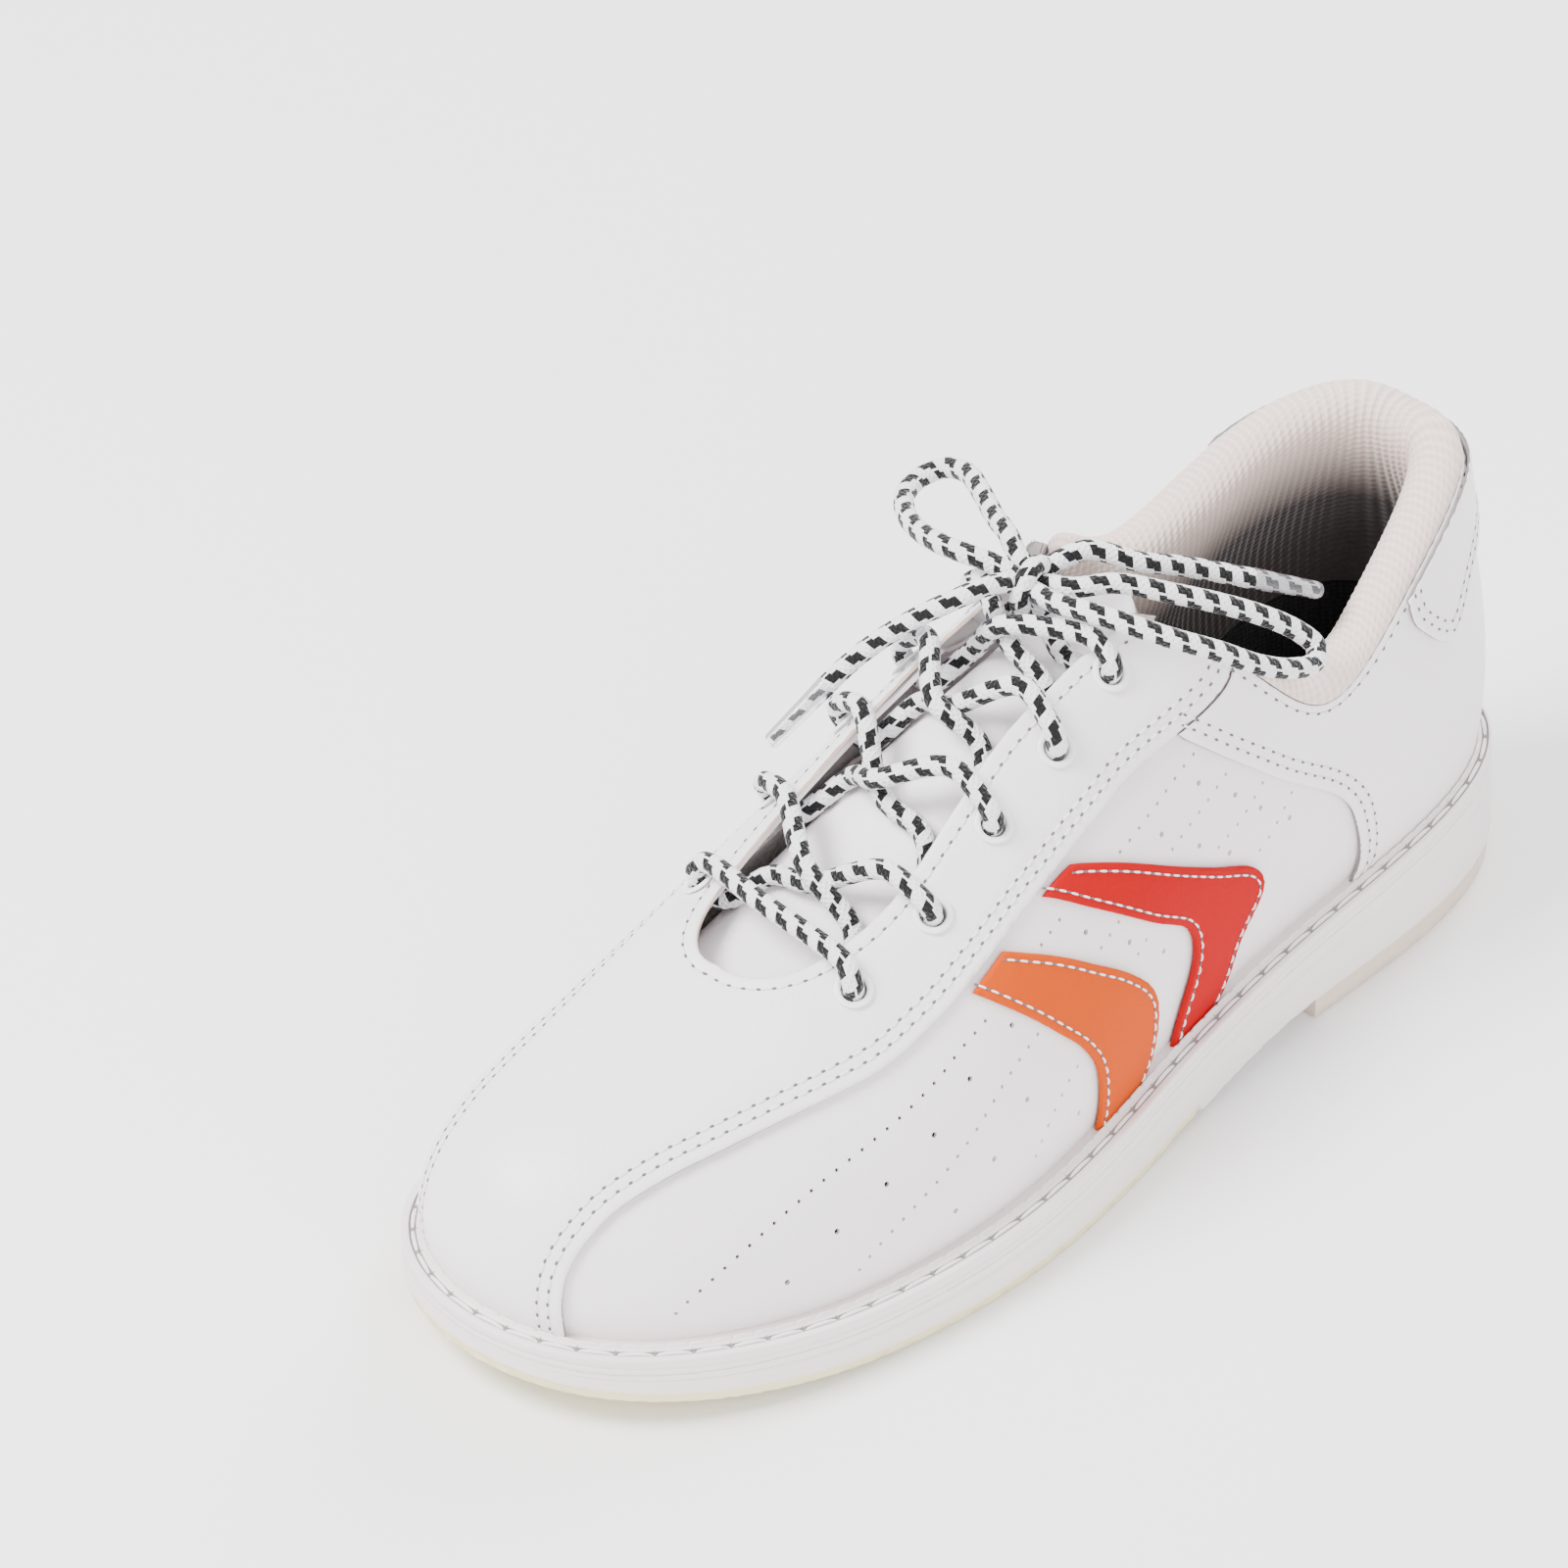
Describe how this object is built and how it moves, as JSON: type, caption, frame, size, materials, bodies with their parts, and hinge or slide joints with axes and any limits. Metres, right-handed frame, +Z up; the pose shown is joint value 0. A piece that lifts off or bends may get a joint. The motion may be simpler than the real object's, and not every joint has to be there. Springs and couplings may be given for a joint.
{
  "type": "bowling shoe",
  "caption": "Low lace-up bowling shoe for the left foot: stitched cup sole, exchangeable slide and heel pads, perforated leather upper with chevrons, padded mesh collar and braided lace.",
  "frame": {"origin": "centre of the shoe's bounding box at floor level, measured without the lace", "axes": "+Z up, heel towards +Y, toe towards -Y, outer side of the foot towards +X"},
  "size_m": [0.1112, 0.294, 0.1204],
  "materials": {
    "sole": "satin, off white",
    "slide_sole": "matt, pale yellow microfibre",
    "heel_rubber": "matt, beige",
    "filler": "cork",
    "shank_steel": "bare steel",
    "board": "fibre board",
    "footbed_foam": "matt dark fabric over foam",
    "stiffener": "matt",
    "lining": "matt",
    "lining_dark": "matt",
    "foam": "open foam",
    "collar_mesh": "knitted mesh",
    "aglet": "clear film",
    "eyelet": "white enamel",
    "lace": "white braid with black ticks",
    "red_leather": "smooth",
    "orange_leather": "smooth",
    "white_leather": "smooth, fine grain"
  },
  "bodies": {
    "shoe": {"outsole": "sole", "welt": "sole", "midsole_filler": "filler", "shank": "shank_steel", "insole_board": "board", "vamp": "white_leather", "quarter_lateral": "white_leather", "quarter_medial": "white_leather", "back_quarter_lateral": "white_leather", "back_quarter_medial": "white_leather", "heel_tab": "white_leather", "chevron_red_lateral": "red_leather", "chevron_orange_lateral": "orange_leather", "chevron_red_medial": "red_leather", "chevron_orange_medial": "orange_leather", "toe_puff": "stiffener", "heel_counter": "stiffener", "vamp_lining": "lining", "quarter_lining": "lining_dark", "collar_foam": "foam", "collar_lining": "collar_mesh", "eyelet_lateral_1": "eyelet", "eyelet_lateral_2": "eyelet", "eyelet_lateral_3": "eyelet", "eyelet_lateral_4": "eyelet", "eyelet_lateral_5": "eyelet", "eyelet_medial_1": "eyelet", "eyelet_medial_2": "eyelet", "eyelet_medial_3": "eyelet", "eyelet_medial_4": "eyelet", "eyelet_medial_5": "eyelet", "lace_lacing": "lace", "lace_knot": "lace", "lace_loop_medial": "lace", "lace_loop_lateral": "lace", "lace_tail_medial": "lace", "lace_tail_lateral": "lace", "aglet_medial": "aglet", "aglet_lateral": "aglet"},
    "sock_liner": {"footbed": "footbed_foam"},
    "slide_pad": {"slide_pad": "slide_sole"},
    "heel_piece": {"heel_pad": "heel_rubber"},
    "tongue": {"tongue_face": "white_leather", "tongue_foam": "foam", "tongue_lining": "collar_mesh"}
  },
  "joints": [
    {"name": "footbed_lift", "type": "hinge", "parent": "shoe", "child": "sock_liner", "pos_m": [0, -0.13466, 0.021], "axis": [1, 0, 0], "range_deg": [0, 4]},
    {"name": "slide_pad_release", "type": "slide", "parent": "shoe", "child": "slide_pad", "axis": [0, 0, -1], "range_m": [0, 0.02]},
    {"name": "heel_pad_release", "type": "slide", "parent": "shoe", "child": "heel_piece", "axis": [0, 0, -1], "range_m": [0, 0.02]},
    {"name": "tongue_hinge", "type": "hinge", "parent": "shoe", "child": "tongue", "pos_m": [-0.00504, -0.10128, 0.05016], "axis": [-1, 0, 0], "range_deg": [0, 5]}
  ]
}
